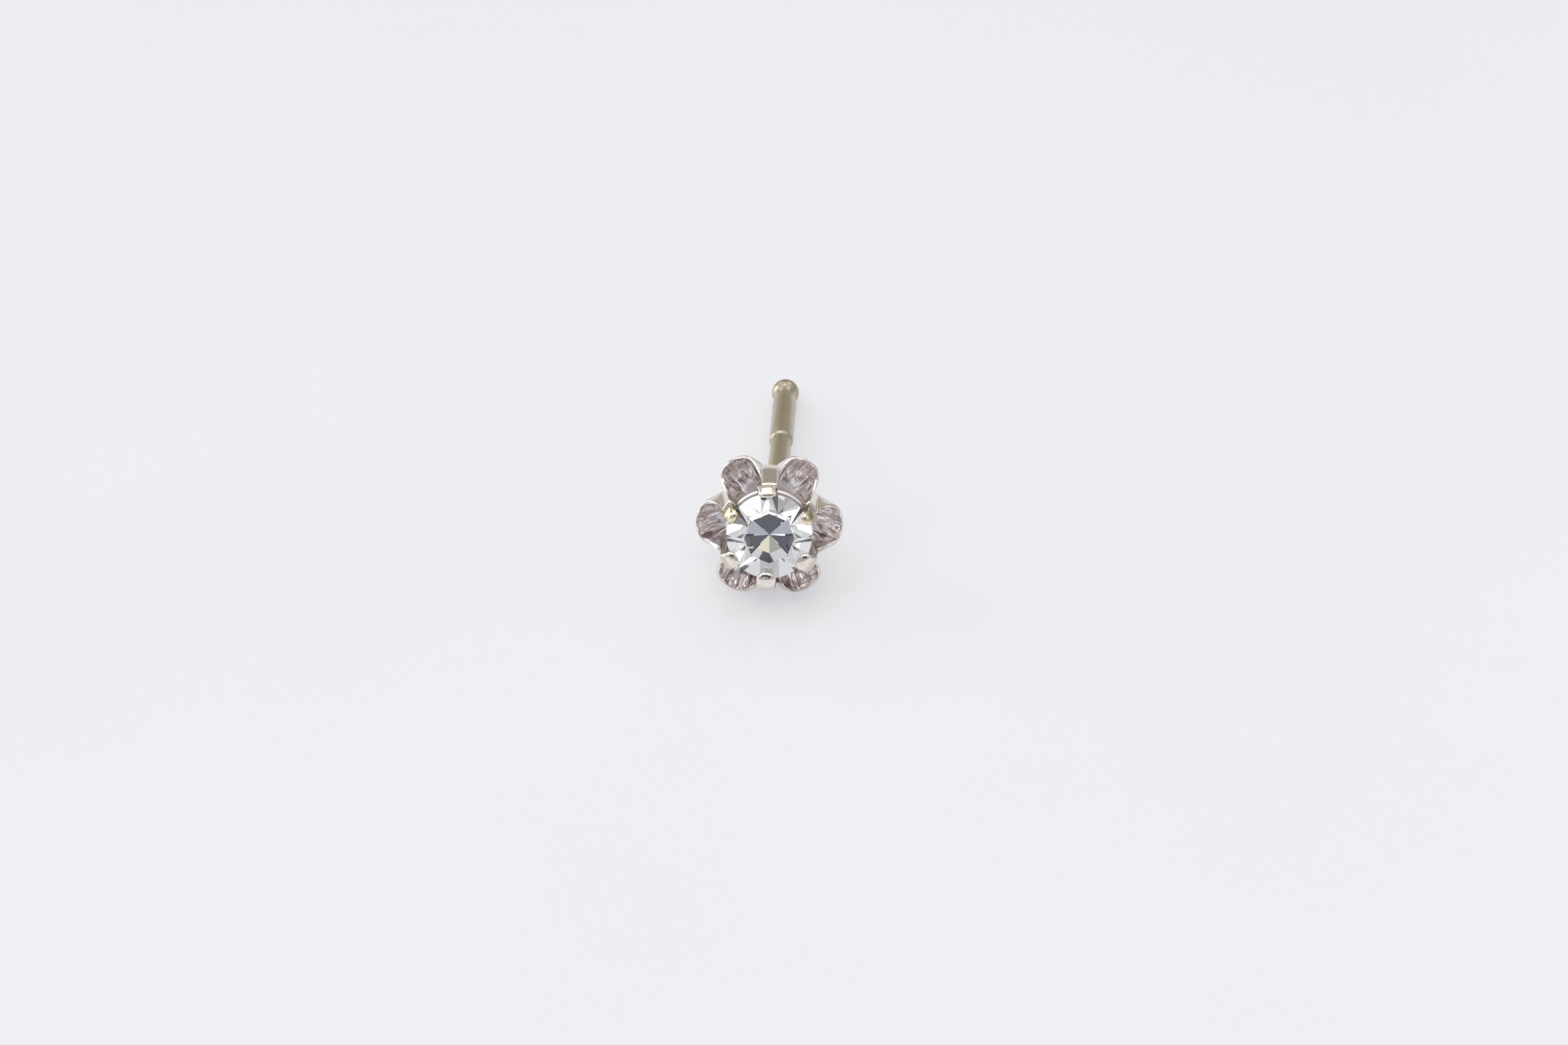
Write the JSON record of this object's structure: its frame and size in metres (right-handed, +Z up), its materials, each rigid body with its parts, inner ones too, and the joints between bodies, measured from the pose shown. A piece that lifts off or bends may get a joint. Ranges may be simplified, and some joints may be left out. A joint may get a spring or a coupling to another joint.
{
  "type": "diamond stud earring",
  "caption": "Stud earring with a flared petal head, prongs holding a round single-cut diamond, and a straight ball-ended post.",
  "frame": {"origin": "on the surface the earring lies on, under the middle of its box", "axes": "+Z up from the surface, -Y the way the stone looks, +Y towards the ball end of the post, +X to the right of the stone seen from the front"},
  "size_m": [0.0052, 0.014, 0.0049],
  "materials": {
    "white_gold": "polished, bright-cut inside the petals",
    "diamond": "clear, faceted and polished"
  },
  "bodies": {
    "root": {"setting_with_post": "white_gold", "diamond": "diamond"}
  },
  "joints": []
}
